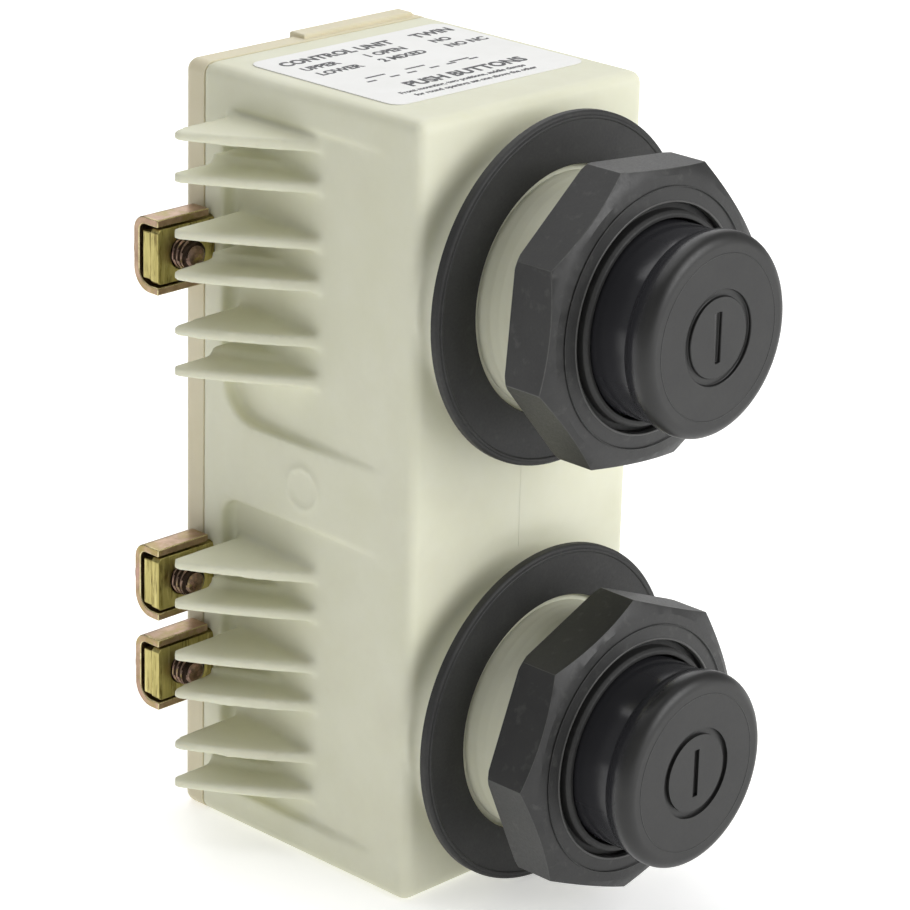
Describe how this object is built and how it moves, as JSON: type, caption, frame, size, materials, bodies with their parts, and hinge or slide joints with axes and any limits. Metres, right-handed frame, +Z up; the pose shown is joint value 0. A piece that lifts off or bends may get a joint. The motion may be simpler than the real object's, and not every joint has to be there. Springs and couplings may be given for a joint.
{
  "type": "twin push-button control unit",
  "caption": "Panel-mounted twin push-button unit with ring nuts, gaskets, a moulded contact block and side saddle-clamp terminals.",
  "frame": {"origin": "midway between the two button axes, on the front faces of the gaskets, where the back of the panel lies", "axes": "+X to the right seen from the front, +Y back through the panel along the buttons' travel, +Z up from the lower button to the upper"},
  "size_m": [0.0596, 0.0741, 0.1041],
  "materials": {
    "ivory_plastic": "moulded, satin, slightly translucent",
    "cover_plastic": "moulded, satin",
    "label_film": "printed film",
    "black_rubber": "matt",
    "nut_plastic": "moulded, matt",
    "cap_plastic": "moulded, satin face",
    "carrier_nylon": "moulded",
    "spring_steel": "drawn wire",
    "contact_brass": "stamped strip",
    "contact_silver": "silver alloy",
    "terminal_brass": "stamped, yellow passivated",
    "plated_steel": "bent sheet, zinc plated and yellow passivated",
    "screw_steel": "zinc plated and passivated"
  },
  "bodies": {
    "housing_body": {"housing": "ivory_plastic", "back_cover": "cover_plastic", "rating_label": "label_film", "upper_gasket": "black_rubber", "upper_boot": "black_rubber", "lower_gasket": "black_rubber", "lower_boot": "black_rubber", "upper_open_fixed_tips": "contact_silver", "lower_open_fixed_tips": "contact_silver", "lower_closed_fixed_tips": "contact_silver", "left_upper_strap": "terminal_brass", "left_middle_strap": "terminal_brass", "left_lower_strap": "terminal_brass", "right_upper_strap": "terminal_brass", "right_middle_strap": "terminal_brass", "right_lower_strap": "terminal_brass"},
    "upper_button": {"upper_button_cap": "cap_plastic", "upper_plunger": "carrier_nylon", "upper_return_spring": "spring_steel", "upper_open_bridge": "contact_brass", "upper_open_bridge_tips": "contact_silver", "upper_open_contact_spring": "spring_steel"},
    "upper_nut": {"upper_ring_nut": "nut_plastic"},
    "lower_button": {"lower_button_cap": "cap_plastic", "lower_plunger": "carrier_nylon", "lower_return_spring": "spring_steel", "lower_open_bridge": "contact_brass", "lower_open_bridge_tips": "contact_silver", "lower_open_contact_spring": "spring_steel", "lower_closed_bridge": "contact_brass", "lower_closed_bridge_tips": "contact_silver", "lower_closed_contact_spring": "spring_steel"},
    "lower_nut": {"lower_ring_nut": "nut_plastic"},
    "left_upper_clamp": {"left_upper_saddle": "plated_steel", "left_upper_wire_plate": "terminal_brass"},
    "left_upper_screw_body": {"left_upper_screw": "screw_steel"},
    "left_middle_clamp": {"left_middle_saddle": "plated_steel", "left_middle_wire_plate": "terminal_brass"},
    "left_middle_screw_body": {"left_middle_screw": "screw_steel"},
    "left_lower_clamp": {"left_lower_saddle": "plated_steel", "left_lower_wire_plate": "terminal_brass"},
    "left_lower_screw_body": {"left_lower_screw": "screw_steel"},
    "right_upper_clamp": {"right_upper_saddle": "plated_steel", "right_upper_wire_plate": "terminal_brass"},
    "right_upper_screw_body": {"right_upper_screw": "screw_steel"},
    "right_middle_clamp": {"right_middle_saddle": "plated_steel", "right_middle_wire_plate": "terminal_brass"},
    "right_middle_screw_body": {"right_middle_screw": "screw_steel"},
    "right_lower_clamp": {"right_lower_saddle": "plated_steel", "right_lower_wire_plate": "terminal_brass"},
    "right_lower_screw_body": {"right_lower_screw": "screw_steel"}
  },
  "joints": [
    {"name": "upper_press", "type": "slide", "parent": "housing_body", "child": "upper_button", "axis": [0, 1, 0], "range_m": [0, 0.005], "stiffness_N_per_m": 900, "springref_m": -0.005, "deforming": ["upper_return_spring"]},
    {"name": "upper_nut_turn", "type": "hinge", "parent": "housing_body", "child": "upper_nut", "pos_m": [0, -0.0115, 0.02857], "axis": [0, -1, 0], "continuous": true},
    {"name": "lower_press", "type": "slide", "parent": "housing_body", "child": "lower_button", "axis": [0, 1, 0], "range_m": [0, 0.005], "stiffness_N_per_m": 900, "springref_m": -0.005, "deforming": ["lower_return_spring"]},
    {"name": "lower_nut_turn", "type": "hinge", "parent": "housing_body", "child": "lower_nut", "pos_m": [0, -0.0115, -0.02857], "axis": [0, -1, 0], "continuous": true},
    {"name": "left_upper_clamp_slide", "type": "slide", "parent": "housing_body", "child": "left_upper_clamp", "axis": [0, 1, 0], "range_m": [0, 0.00198]},
    {"name": "left_upper_screw_turn", "type": "hinge", "parent": "left_upper_clamp", "child": "left_upper_screw_body", "pos_m": [-0.02505, 0.045, 0.02857], "axis": [0, 1, 0], "range_deg": [0, 900]},
    {"name": "left_middle_clamp_slide", "type": "slide", "parent": "housing_body", "child": "left_middle_clamp", "axis": [0, 1, 0], "range_m": [0, 0.00198]},
    {"name": "left_middle_screw_turn", "type": "hinge", "parent": "left_middle_clamp", "child": "left_middle_screw_body", "pos_m": [-0.02505, 0.045, -0.01588], "axis": [0, 1, 0], "range_deg": [0, 900]},
    {"name": "left_lower_clamp_slide", "type": "slide", "parent": "housing_body", "child": "left_lower_clamp", "axis": [0, 1, 0], "range_m": [0, 0.00198]},
    {"name": "left_lower_screw_turn", "type": "hinge", "parent": "left_lower_clamp", "child": "left_lower_screw_body", "pos_m": [-0.02505, 0.045, -0.02857], "axis": [0, 1, 0], "range_deg": [0, 900]},
    {"name": "right_upper_clamp_slide", "type": "slide", "parent": "housing_body", "child": "right_upper_clamp", "axis": [0, 1, 0], "range_m": [0, 0.00198]},
    {"name": "right_upper_screw_turn", "type": "hinge", "parent": "right_upper_clamp", "child": "right_upper_screw_body", "pos_m": [0.02505, 0.045, 0.02857], "axis": [0, 1, 0], "range_deg": [0, 900]},
    {"name": "right_middle_clamp_slide", "type": "slide", "parent": "housing_body", "child": "right_middle_clamp", "axis": [0, 1, 0], "range_m": [0, 0.00198]},
    {"name": "right_middle_screw_turn", "type": "hinge", "parent": "right_middle_clamp", "child": "right_middle_screw_body", "pos_m": [0.02505, 0.045, -0.01588], "axis": [0, 1, 0], "range_deg": [0, 900]},
    {"name": "right_lower_clamp_slide", "type": "slide", "parent": "housing_body", "child": "right_lower_clamp", "axis": [0, 1, 0], "range_m": [0, 0.00198]},
    {"name": "right_lower_screw_turn", "type": "hinge", "parent": "right_lower_clamp", "child": "right_lower_screw_body", "pos_m": [0.02505, 0.045, -0.02857], "axis": [0, 1, 0], "range_deg": [0, 900]}
  ],
  "couplings": [
    {"joint": "left_upper_screw_turn", "follows": "left_upper_clamp_slide", "rad_per_m": 7915.8},
    {"joint": "left_middle_screw_turn", "follows": "left_middle_clamp_slide", "rad_per_m": 7915.8},
    {"joint": "left_lower_screw_turn", "follows": "left_lower_clamp_slide", "rad_per_m": 7915.8},
    {"joint": "right_upper_screw_turn", "follows": "right_upper_clamp_slide", "rad_per_m": 7915.8},
    {"joint": "right_middle_screw_turn", "follows": "right_middle_clamp_slide", "rad_per_m": 7915.8},
    {"joint": "right_lower_screw_turn", "follows": "right_lower_clamp_slide", "rad_per_m": 7915.8}
  ]
}
